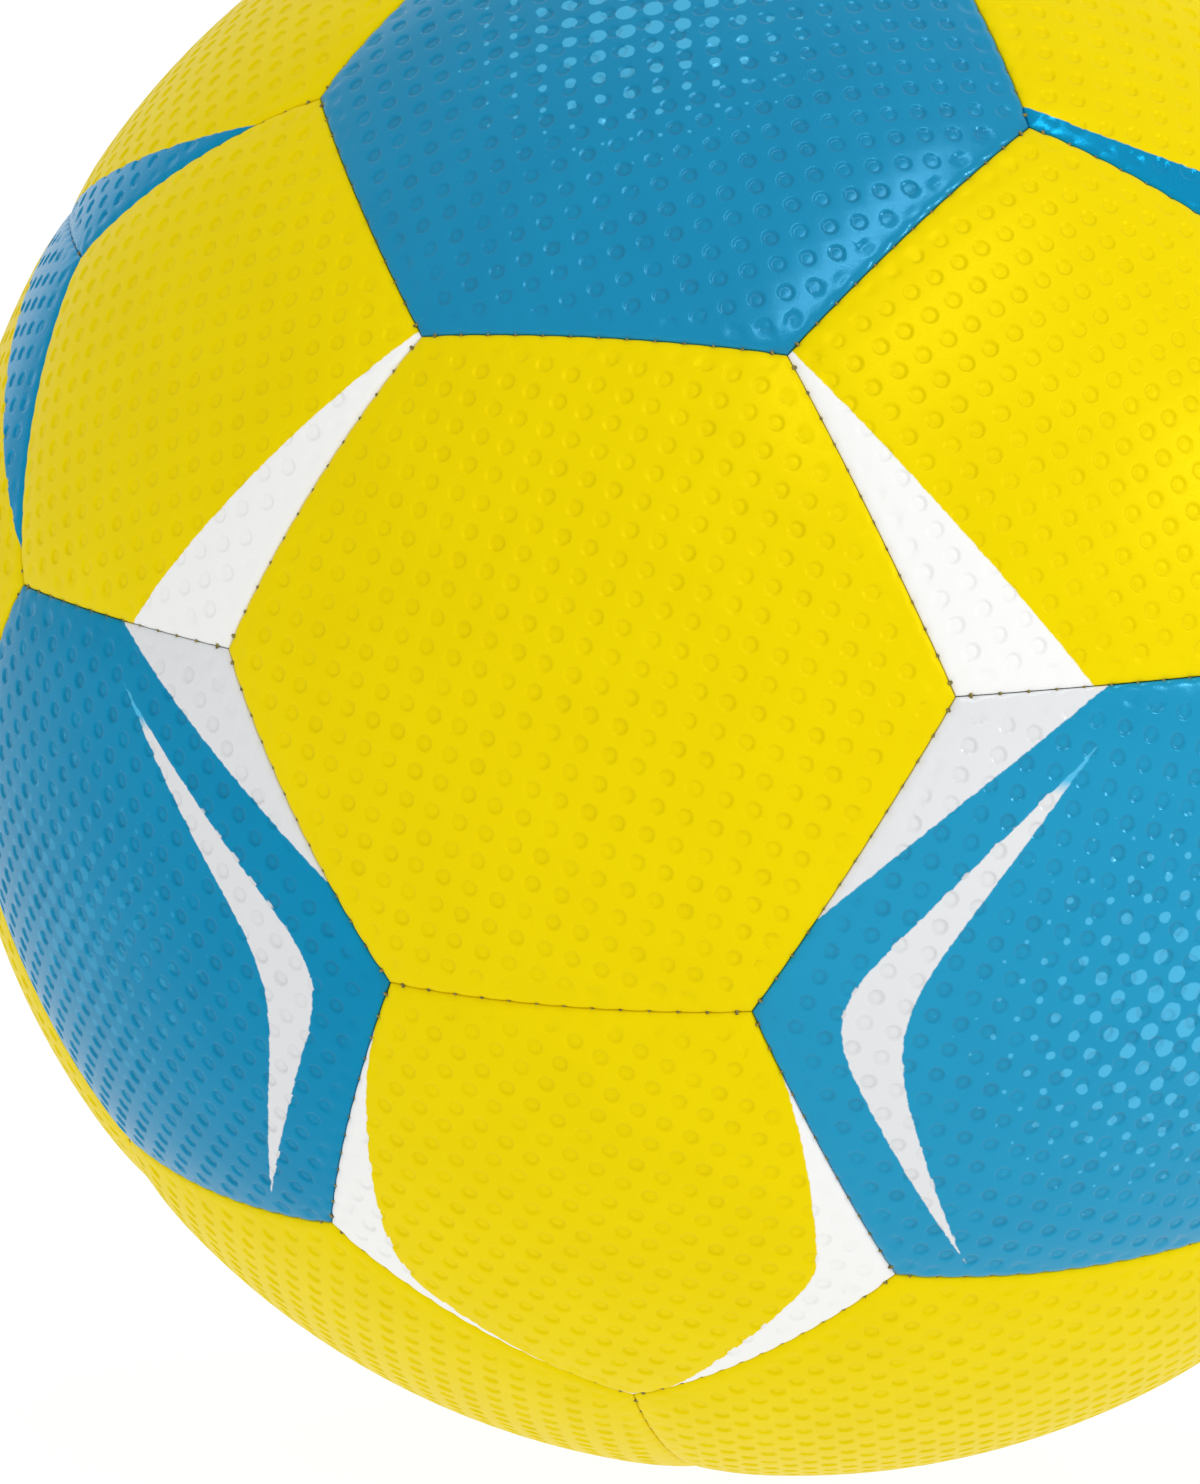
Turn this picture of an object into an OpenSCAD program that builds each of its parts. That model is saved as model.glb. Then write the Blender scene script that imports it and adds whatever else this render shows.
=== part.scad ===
/* [Ball] */
// Circumference of the inflated ball, over the crowns of its panels
circumference = 590; // [500:5:620]
// Depth of a panel's edge below its crown, halfway along a seam
seam_dip = 0.45; // [0.2:0.05:0.8]

/* [Panels] */
// Thickness of the outer skin
skin_t = 1.3; // [1:0.1:2]
// Thickness of the woven lining behind the skin
lining_t = 1; // [0.8:0.1:1.6]
// Gap left for the glue between two layers
glue_gap = 0.05; // [0.02:0.01:0.1]
// Angle at which the fold runs out into the crown
fold_runout = 18; // [14:1:28]
// Width of the strip turned in behind the fold
turn_in = 4; // [3.25:0.25:5]
// Gap between the two turned-in strips of a seam
seam_gap = 0.2; // [0.1:0.05:0.4]

/* [Seam thread] */
// Diameter of the waxed thread
thread_d = 0.5; // [0.4:0.05:0.7]
// Clearance between the thread and the folds that it lies on
thread_clear = 0.05; // [0.02:0.01:0.1]

/* [Bladder] */
// Wall of the rubber bladder
bladder_t = 1.2; // [0.8:0.1:1.6]
// Clearance between the bladder and the turned-in strips
bladder_clear = 0.1; // [0.05:0.05:0.3]

/* [Valve] */
// Diameter of the valve head that shows in the rear panel
head_d = 8; // [7:0.5:10]
// Depth of the valve head below the panel's crown
head_recess = 0.4; // [0.2:0.1:0.8]
// Clearance round the valve head in the panel
head_clear = 0.15; // [0.1:0.05:0.3]
// Depth of the housing's closed end below the core
tail_floor = 4.5; // [2:0.5:7]
// Radius of the rounded rims of the valve head
head_round = 0.5; // [0.3:0.1:0.8]
// Diameter of the flange that is bonded to the bladder
flange_d = 26; // [20:1:32]
// Thickness of that flange
flange_t = 1.2; // [0.8:0.1:1.6]
// Diameter of the housing's tail inside the bladder
tail_d = 9; // [8:0.5:11]
// Diameter of the hole through which air leaves the tail
outlet_d = 2.4; // [2:0.2:3]

/* [Valve core] */
// Diameter of the core's collar
collar_d = 5.4; // [5:0.1:6]
// Height of the core's collar
collar_h = 1.5; // [1:0.25:2.5]
// Diameter of the core's barrel
barrel_d = 4.2; // [3.8:0.1:4.8]
// Length of the core
core_len = 17; // [14:0.5:19]
// Depth of the core below the valve head's face
core_recess = 0.3; // [0.2:0.1:0.6]
// Clearance between the core and its pocket
core_clear = 0.05; // [0.02:0.01:0.1]
// Diameter of the guide hole for the inflating needle
needle_hole_d = 2.1; // [2:0.05:2.4]
// Depth of the guide hole, up to the self-closing slit
needle_hole_len = 9; // [6:0.5:11]
// Diameter of the funnel at the mouth of the guide hole
funnel_d = 3.4; // [3:0.2:4]
// Depth of that funnel
funnel_h = 0.8; // [0.5:0.1:1.2]

/* [Valve patch] */
// Diameter of the reinforcing patch behind the valve panel
patch_d = 34; // [30:1:40]
// Thickness of that patch
patch_t = 0.8; // [0.6:0.1:1.2]

/* [Hidden] */
$fn = 96;
overrun = 2;
ball_r = circumference / (2 * PI);

function unit(v) = v / norm(v);

// Directions of the twelve pentagon centres, before the ball is turned to its frame.
golden = (1 + sqrt(5)) / 2;
function cycled(v, turns) = turns == 0 ? v : cycled([v[2], v[0], v[1]], turns - 1);
loose_pentagons = [for (turns = [0:2], a = [-1, 1], b = [-golden, golden]) cycled([0, a, b], turns)];

// The front hexagon faces -Y, with a pentagon straight below it.
front_axis = unit([1, 1, 1]);
below_front = unit([0, 1, golden]);
up_axis = -unit(below_front - (below_front * front_axis) * front_axis);
side_axis = cross(-front_axis, up_axis);
function seated(v) = unit([v * side_axis, -v * front_axis, v * up_axis]);

// Panels are counted from the front to the back of the ball, and round each ring.
function rank(v) = round(v[1] * 1000) * 1000 + atan2(v[0], -v[2]);
function ranked(list) = len(list) < 2 ? list : concat(
    ranked([for (v = list) if (rank(v) < rank(list[0])) v]),
    [list[0]],
    ranked([for (v = list) if (rank(v) > rank(list[0])) v]));
pentagons = ranked([for (v = loose_pentagons) seated(v)]);
function beside(a, b, angle) = abs(acos(min(1, a * b)) - angle) < 1;
pentagon_spacing = acos(pentagons[0] * pentagons[1]);
hexagons = ranked([for (i = [0:11], j = [0:11], k = [0:11])
    if (i < j && j < k && beside(pentagons[i], pentagons[j], pentagon_spacing)
        && beside(pentagons[j], pentagons[k], pentagon_spacing)
        && beside(pentagons[k], pentagons[i], pentagon_spacing))
    unit(pentagons[i] + pentagons[j] + pentagons[k])]);

// Angles at the ball's centre: between panel centres, from a panel's centre to its seams, and along a seam.
mixed_spacing = acos(front_axis * below_front);
hexagon_spacing = acos(sqrt(5) / 3);
hexagon_seam_angle = hexagon_spacing / 2;
pentagon_seam_angle = mixed_spacing - hexagon_seam_angle;
half_seam_angle = acos(unit(2 * pentagons[0] + pentagons[1]) * unit(pentagons[0] + pentagons[1]));

lining_inset = skin_t + glue_gap;
sheet_t = lining_inset + lining_t;

// The skin folds about a crease on its own inner face, seen in the plane across a seam.
fold_r = skin_t;
fold_centre_h = seam_gap / 2 + fold_r;
crest_r = ball_r - seam_dip;

// A panel's crown is a sphere whose centre lies this far from the ball's, so that its edge lies at the dip.
function crown_offset(seam_angle) = (pow(ball_r, 2) - pow(crest_r, 2))
    / (2 * (ball_r - crest_r * cos(seam_angle)));
function crown_r(seam_angle) = ball_r - crown_offset(seam_angle);
// How far the crown reaches above the middle of the fold, in the plane across the middle of a seam.
function crown_reach(seam_angle) = crown_offset(seam_angle) * cos(seam_angle)
    + sqrt(pow(crown_r(seam_angle), 2) - pow(fold_centre_h - crown_offset(seam_angle) * sin(seam_angle), 2));

// The fold stands out far enough to meet the crown at its run-out angle.
fold_reach_r = max(crown_reach(hexagon_seam_angle), crown_reach(pentagon_seam_angle))
    + fold_r * (1 - cos(fold_runout));
fold_centre_r = fold_reach_r - fold_r;
strip_end_r = fold_centre_r - turn_in;
thread_centre_r = fold_centre_r + sqrt(pow(fold_r + thread_clear + thread_d / 2, 2) - pow(fold_centre_h, 2));
bladder_r = strip_end_r - bladder_clear;

// Stations along the valve's axis, measured from the ball's centre.
head_top = ball_r - head_recess;
core_top = head_top - core_recess;
core_end = core_top - core_len;
housing_end = core_end - tail_floor;
collar_base = core_top - collar_h;

function numbered(name, count) = [for (i = [1:count]) str(name, i < 10 ? "0" : "", i)];
hexagon_names = numbered("hexagon_panel_", len(hexagons));
pentagon_names = numbered("pentagon_panel_", len(pentagons));
valve_panel = len(hexagons) - 1;
half_count = len(hexagons) / 2;

// Six hexagons are blue: the three round the front one and the three round the one at the back.
function is_blue(centre) = beside(centre, hexagons[0], hexagon_spacing)
    || beside(centre, hexagons[valve_panel], hexagon_spacing);

// Turns +Z to the direction centre, and +X towards another direction.
module turned_to(centre, towards) {
    x = unit(towards - (towards * centre) * centre);
    y = cross(centre, x);
    multmatrix([
        [x[0], y[0], centre[0], 0],
        [x[1], y[1], centre[1], 0],
        [x[2], y[2], centre[2], 0],
        [0, 0, 0, 1]])
        children();
}

module at_hexagon(i) {
    turned_to(hexagons[i], [for (p = pentagons) if (beside(p, hexagons[i], mixed_spacing)) p][0])
        children();
}

module at_pentagon(i) {
    turned_to(pentagons[i], [for (h = hexagons) if (beside(h, pentagons[i], mixed_spacing)) h][0])
        children();
}

// Stands a solid of revolution on a seam's plane, with +Z into the panel and +X at the seam's middle.
module on_seam_plane(seam_angle) {
    rotate([0, seam_angle - 90, 0])
        children();
}

// Half section of all that lies on a panel's side of a seam, with its edge rounded by the fold up to the crease.
module seam_side_section(inset) {
    square_top = fold_centre_h + ball_r;
    inner_r = min(fold_centre_r, fold_reach_r - inset);
    translate([0, seam_gap / 2 + inset])
        square([inner_r, square_top - seam_gap / 2 - inset]);
    if (inset < fold_r) {
        translate([0, fold_centre_h])
            square([fold_reach_r - inset, ball_r]);
        translate([fold_centre_r, fold_centre_h])
            circle(r = fold_r - inset);
    }
}

// Keeps what lies inside the folded edges of a panel with this many sides, trimmed one seam at a time.
module within_seams(sides, seam_angle, inset, seam = 0) {
    if (seam == sides)
        children();
    else
        intersection() {
            within_seams(sides, seam_angle, inset, seam + 1)
                children();
            rotate([0, 0, seam * 360 / sides])
                on_seam_plane(seam_angle)
                    rotate_extrude()
                        seam_side_section(inset);
        }
}

// Ball of the crown's outer face, or that face moved inwards by inset.
module crown_ball(seam_angle, inset) {
    translate([0, 0, crown_offset(seam_angle)])
        sphere(r = crown_r(seam_angle) - inset);
}

// Solid inside a panel's folded outer face, or that face moved inwards by inset, down to floor_r.
module folded_body(sides, seam_angle, inset, floor_r) {
    within_seams(sides, seam_angle, inset)
        difference() {
            crown_ball(seam_angle, inset);
            sphere(r = floor_r);
        }
}

// One layer of a panel: crowned, folded at every seam, and open towards the ball's centre.
module folded_layer(sides, seam_angle, inset, thickness) {
    difference() {
        folded_body(sides, seam_angle, inset, strip_end_r);
        folded_body(sides, seam_angle, inset + thickness, strip_end_r - overrun);
    }
}

module valve_opening() {
    cylinder(d = head_d + 2 * head_clear, h = ball_r + overrun);
}

module hexagon_layer(i, inset, thickness) {
    at_hexagon(i)
        difference() {
            folded_layer(6, hexagon_seam_angle, inset, thickness);
            if (i == valve_panel) valve_opening();
        }
}

module pentagon_layer(i, inset, thickness) {
    at_pentagon(i)
        folded_layer(5, pentagon_seam_angle, inset, thickness);
}

module hexagon_panel(i) {
    color(is_blue(hexagons[i]) ? "#1f8cba" : "#f0da0c")
        hexagon_layer(i, 0, skin_t);
}

module pentagon_panel(i) {
    color("#f0da0c")
        pentagon_layer(i, 0, skin_t);
}

module hexagon_linings(first, last) {
    color("#e6e2d6")
        for (i = [first:last])
            hexagon_layer(i, lining_inset, lining_t);
}

module pentagon_linings() {
    color("#e6e2d6")
        for (i = [0:len(pentagons) - 1])
            pentagon_layer(i, lining_inset, lining_t);
}

// One run of thread in the valley of a seam, stopping short of the corners where three seams meet.
module thread_run() {
    half_angle = half_seam_angle - asin(thread_d / thread_centre_r);
    on_seam_plane(hexagon_seam_angle)
        rotate([0, 0, -half_angle])
            rotate_extrude(angle = 2 * half_angle)
                translate([thread_centre_r, 0])
                    circle(d = thread_d, $fn = 16);
}

module seam_thread() {
    color("#d8d2bc") {
        for (h = hexagons, p = pentagons)
            if (beside(h, p, mixed_spacing))
                turned_to(h, p) thread_run();
        for (i = [0:len(hexagons) - 1], j = [0:len(hexagons) - 1])
            if (i < j && beside(hexagons[i], hexagons[j], hexagon_spacing))
                turned_to(hexagons[i], hexagons[j]) thread_run();
    }
}

module bladder() {
    color("#2b2b2d")
        difference() {
            sphere(r = bladder_r);
            sphere(r = bladder_r - bladder_t);
            at_hexagon(valve_panel)
                cylinder(d = tail_d + 2 * glue_gap, h = ball_r);
        }
}

module valve_housing() {
    color("#1d1d1f")
        at_hexagon(valve_panel)
            difference() {
                union() {
                    translate([0, 0, housing_end])
                        cylinder(d = tail_d, h = bladder_r + flange_t / 2 - housing_end);
                    translate([0, 0, bladder_r])
                        rotate_extrude()
                            head_section();
                    intersection() {
                        difference() {
                            sphere(r = bladder_r + flange_t);
                            sphere(r = bladder_r + glue_gap);
                        }
                        cylinder(d = flange_d, h = ball_r);
                    }
                }
                translate([0, 0, core_end - core_clear])
                    cylinder(d = barrel_d + 2 * core_clear, h = ball_r - core_end);
                translate([0, 0, collar_base - core_clear])
                    cylinder(d = collar_d + 2 * core_clear, h = ball_r - collar_base);
                translate([0, 0, housing_end - overrun])
                    cylinder(d = outlet_d, h = tail_floor + 2 * overrun);
            }
}

// Head of the housing from the bladder up, with a rounded rim.
module head_section() {
    head_h = head_top - bladder_r;
    square([head_d / 2 - head_round, head_h]);
    square([head_d / 2, head_h - head_round]);
    translate([head_d / 2 - head_round, head_h - head_round])
        circle(r = head_round);
}

// Half section of the core from its closed end up: barrel, collar, funnel and guide hole.
module core_section() {
    polygon([[0, 0],
        [barrel_d / 2, 0],
        [barrel_d / 2, core_len - collar_h],
        [collar_d / 2, core_len - collar_h],
        [collar_d / 2, core_len],
        [funnel_d / 2, core_len],
        [needle_hole_d / 2, core_len - funnel_h],
        [needle_hole_d / 2, core_len - needle_hole_len],
        [0, core_len - needle_hole_len]]);
}

module valve_core() {
    color("#35353a")
        at_hexagon(valve_panel)
            translate([0, 0, core_end])
                rotate_extrude()
                    core_section();
}

module valve_patch() {
    color("#b9b4a4")
        at_hexagon(valve_panel)
            intersection() {
                difference() {
                    crown_ball(hexagon_seam_angle, sheet_t + glue_gap);
                    crown_ball(hexagon_seam_angle, sheet_t + glue_gap + patch_t);
                    valve_opening();
                }
                cylinder(d = patch_d, h = ball_r);
            }
}

for (i = [0:len(hexagons) - 1])
    hexagon_panel(i);
for (i = [0:len(pentagons) - 1])
    pentagon_panel(i);
hexagon_linings(0, half_count - 1);  // front_hexagon_linings
hexagon_linings(half_count, valve_panel);  // rear_hexagon_linings
pentagon_linings();
seam_thread();
bladder();
valve_housing();
valve_core();
valve_patch();
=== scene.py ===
import math

import bmesh
import bpy
import numpy as np
from mathutils import Matrix, Vector


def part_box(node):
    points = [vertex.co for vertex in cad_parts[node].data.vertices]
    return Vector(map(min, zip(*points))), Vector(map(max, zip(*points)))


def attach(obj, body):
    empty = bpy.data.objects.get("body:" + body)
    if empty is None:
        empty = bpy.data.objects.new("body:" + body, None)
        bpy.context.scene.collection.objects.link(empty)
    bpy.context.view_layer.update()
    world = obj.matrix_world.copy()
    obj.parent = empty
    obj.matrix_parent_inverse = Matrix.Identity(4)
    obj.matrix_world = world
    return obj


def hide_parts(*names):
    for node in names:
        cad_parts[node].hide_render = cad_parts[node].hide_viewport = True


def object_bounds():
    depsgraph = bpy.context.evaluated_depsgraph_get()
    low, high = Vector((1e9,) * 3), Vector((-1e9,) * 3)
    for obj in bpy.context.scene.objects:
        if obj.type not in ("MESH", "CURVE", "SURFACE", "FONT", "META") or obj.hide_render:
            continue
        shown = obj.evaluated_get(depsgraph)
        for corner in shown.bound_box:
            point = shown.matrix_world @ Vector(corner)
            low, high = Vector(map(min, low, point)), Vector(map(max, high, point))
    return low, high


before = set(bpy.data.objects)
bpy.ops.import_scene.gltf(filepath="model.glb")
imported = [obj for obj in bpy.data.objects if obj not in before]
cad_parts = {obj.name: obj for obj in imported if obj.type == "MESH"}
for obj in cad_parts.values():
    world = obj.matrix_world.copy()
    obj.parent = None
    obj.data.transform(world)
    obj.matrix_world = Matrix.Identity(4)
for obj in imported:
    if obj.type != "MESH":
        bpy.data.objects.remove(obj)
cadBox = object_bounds()
scene = bpy.context.scene
mm = 0.001
print("frame loaded")


def linear(hexColour):
    # sRGB hex to the linear colour that a shader socket takes
    parts = [int(hexColour[i:i + 2], 16) / 255 for i in (1, 3, 5)]
    return [c / 12.92 if c <= 0.04045 else ((c + 0.055) / 1.055) ** 2.4 for c in parts] + [1]


def addNode(tree, kind, inputs=(), **settings):
    # adds a node; an input is a plain value, an output socket, or a node whose first output is meant
    node = tree.nodes.new(kind)
    for key, value in settings.items():
        setattr(node, key, value)
    for socket, value in inputs.items() if isinstance(inputs, dict) else enumerate(inputs):
        if isinstance(value, bpy.types.Node):
            value = value.outputs[0]
        if isinstance(value, bpy.types.NodeSocket):
            tree.links.new(value, node.inputs[socket])
        else:
            node.inputs[socket].default_value = value
    return node


def bareMaterial(name):
    material = bpy.data.materials.new(name)
    material.use_nodes = True
    material.node_tree.nodes.clear()
    return material, material.node_tree


def addObject(name, mesh):
    added = bpy.data.objects.new(name, mesh)
    scene.collection.objects.link(added)
    return added


def smooth(mesh):
    mesh.polygons.foreach_set("use_smooth", np.ones(len(mesh.polygons), bool))


# the ball's layout: 12 pentagons and 20 hexagons, seen from the front along +Y

ball = dict(
    radius=93.901,       # over the crowns, mm
    seamDip=0.45,        # a seam's crest lies this far below the crowns
    skin=1.3,            # thickness of the outer skin
    stripEnd=88.25,      # radius at which the turned-in strips end
    stitchesPerSeam=13,
    stitchPitch=2.9,     # about the distance between two stitches
)
crestRadius = ball["radius"] - ball["seamDip"]
sameCosine = 0.01        # cosines that differ by less are the same
midline = 0.01           # a centre's x must pass this to count as off the middle
samePlace = 0.999        # cosine between two directions that are the same
tiny = 1e-9              # keeps a division at a panel's very middle from failing


def unit(v):
    v = np.asarray(v, float)
    return v / np.linalg.norm(v)


def unitRows(points):
    return points / np.linalg.norm(points, axis=1)[:, None]


def beside(a, b, cosine):
    return abs(a @ b - cosine) < sameCosine


golden = (1 + 5 ** 0.5) / 2
loose = [np.roll((0, a, b), turn) for turn in range(3) for a in (-1, 1) for b in (-golden, golden)]
frontAxis = unit((1, 1, 1))
below = unit((0, 1, golden))
upAxis = -unit(below - (below @ frontAxis) * frontAxis)
seat = np.array([np.cross(-frontAxis, upAxis), -frontAxis, upAxis])
mixedCosine = frontAxis @ below
pentagonCosine = 1 / 5 ** 0.5
hexagonCosine = 5 ** 0.5 / 3
pentagons = [seat @ unit(v) for v in loose]
hexagons = [
    unit(a + b + c)
    for i, a in enumerate(pentagons) for j, b in enumerate(pentagons) for k, c in enumerate(pentagons)
    if i < j < k and all(beside(p, q, pentagonCosine) for p, q in ((a, b), (b, c), (a, c)))
]
hexagonSeam = math.acos(hexagonCosine) / 2      # angle from a hexagon's centre to its seams
pentagonSeam = math.acos(mixedCosine) - hexagonSeam
kinds = {"hexagon": dict(sides=6, seam=hexagonSeam), "pentagon": dict(sides=5, seam=pentagonSeam)}
for kind in kinds.values():
    # the crown is a sphere with its own centre, so that its edges lie at the dip
    kind["rise"] = (ball["radius"] ** 2 - crestRadius ** 2) / (
        2 * (ball["radius"] - crestRadius * math.cos(kind["seam"])))
    kind["crown"] = ball["radius"] - kind["rise"]


def localAxes(centre, kindName):
    # columns: towards the middle of a seam, across, and outwards
    others = pentagons if kindName == "hexagon" else hexagons
    towards = next(o for o in others if beside(o, centre, mixedCosine))
    x = unit(towards - (towards @ centre) * centre)
    return np.array([x, np.cross(centre, x), centre]).T


def patternTurn(centre):
    # the panels at the front on the left are the patterns; this takes any panel to its pattern
    back = -1 if centre[1] > 0 else 1
    return np.array([-1 if centre[0] > midline else 1, back, back])


def printPlace(points, centre):
    # mm across and up a panel's print, on its pattern
    middle = centre * patternTurn(centre)
    away = unitRows(points * patternTurn(centre))
    up = unit(np.array([0, 0, 1]) - middle[2] * middle)
    angle = np.arccos(np.clip(away @ middle, -1, 1))
    side = away - (away @ middle)[:, None] * middle
    side = side / np.maximum(np.linalg.norm(side, axis=1), tiny)[:, None]
    return np.stack([angle * (side @ np.cross(up, middle)), angle * (side @ up)], axis=1) * ball["radius"]


# printed synthetic leather: polyurethane on cloth, embossed, with the colours screened on before it is cut

paint = dict(
    yellow="#F0D800", deepYellow="#E7CD00", blue="#0A8CB8", deepBlue="#067EAA",
    litSideBlue="#0F96C1", deepLitSideBlue="#0C8DB8", wedgeBlue="#0F90C0", paleBlue="#4DBAE4",
    # the last colour is painted into the dimples and down the seams as their shade, with some dust
    white="#F6F6F4", greyWhite="#E2E4E6", dustAndShade="#3A3526",
)
# the yellow sheet is matt with a soft grain, the blue one glossier with a fine hard grain; each one's last
# value is how much painted shade, with some dust, darkens its dimples
matt = dict(
    ground=paint["yellow"], deep=paint["deepYellow"],
    shine=0.03, pearl=0.1, roughness=0.4, grainsPerMm=3.2, dustAndShade=0.015)
glossy = dict(
    ground=paint["blue"], deep=paint["deepBlue"],
    shine=0.22, pearl=0.14, roughness=0.23, grainsPerMm=6.0, dustAndShade=0.1)
# the side panels' sheet: its blue is painted lighter, standing in for the key light from the right on the
# right-hand panel
clear = dict(glossy, ground=paint["litSideBlue"], deep=paint["deepLitSideBlue"])
dull = dict(glossy, shine=0.06, pearl=0.18)
noiseRange = {"From Min": 0.3, "From Max": 0.7}      # most of a noise texture's values
roughnessSpread = 0.06
printing = dict(
    wavesPerMm=1.1, wave=0.4,         # the ink's edge wanders over this many mm
    follow=0.45, dotFollow=0.4,       # and follows the embossing by this share of its height,
    deepest=-0.2,                     # down to this level
    softEdge=0.07,                    # half the width of the edge, mm
    corner=2.5,                       # rounding where two circles of a wedge meet
    patchesPerMm=0.09, patches={"From Min": 0.35, "From Max": 0.65, "To Max": 0.25},      # deeper colour
    glossRoughness=-0.16, glossPearl=0.3,       # the wedges' blue ink is glossier than the sheet
    whitePearl=-0.8,                  # and the white ink has little pearl
)
dustAndShadeLevels = dict(
    groove={"From Min": -0.21, "From Max": -0.13},      # levels between which the painted shade and dust in the dimples fade out, mm
    crease={"From Min": -0.7, "From Max": -0.42},       # and the painted shade down in the seam
    creaseShade=0.5,
    whiteDustAndShade=-0.7, whiteShade=-0.4,  # on the white ink both are fainter
)
beyondPanel = 1000


def outside(tree, place, circle):
    # mm by which a place lies outside a circle; one marked open goes on upwards with straight sides
    x, y, radius, *isOpen = circle
    if isOpen:
        place = addNode(tree, "ShaderNodeVectorMath", [place, (beyondPanel, y, 0)], operation="MINIMUM")
    far = addNode(tree, "ShaderNodeVectorMath", [place, (x, y, 0)], operation="DISTANCE").outputs["Value"]
    return addNode(tree, "ShaderNodeMath", [far, radius], operation="SUBTRACT")


def outsideOverlap(tree, place, circles, corner):
    # mm outside the overlap of some circles, rounded where two of them meet
    edge, *others = [outside(tree, place, circle) for circle in circles]
    for other in others:
        edge = addNode(tree, "ShaderNodeMath", [edge, other, corner], operation="SMOOTH_MAX")
    return edge


def outsideDots(tree, place, dots):
    # mm outside the dots of a square screen, which shrink away from the fade's middle
    turned = addNode(tree, "ShaderNodeVectorRotate", {
        "Vector": place, "Angle": math.radians(-dots["angle"])}, rotation_type="Z_AXIS")
    half = dots["pitch"] / 2
    cell = addNode(
        tree, "ShaderNodeVectorMath", [turned, (half, half, half), (-half, -half, -half)], operation="WRAP")
    inCell = addNode(tree, "ShaderNodeVectorMath", [cell, (1, 1, 0)], operation="MULTIPLY")
    reach = addNode(tree, "ShaderNodeVectorMath", [inCell], operation="LENGTH").outputs["Value"]
    size = addNode(tree, "ShaderNodeMapRange", {
        "Value": outside(tree, place, (*dots["middle"], 0)), "From Min": 0.0, "From Max": dots["reach"],
        "To Min": dots["largest"], "To Max": dots["smallest"]})
    return addNode(tree, "ShaderNodeMath", [reach, size], operation="SUBTRACT")


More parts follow.
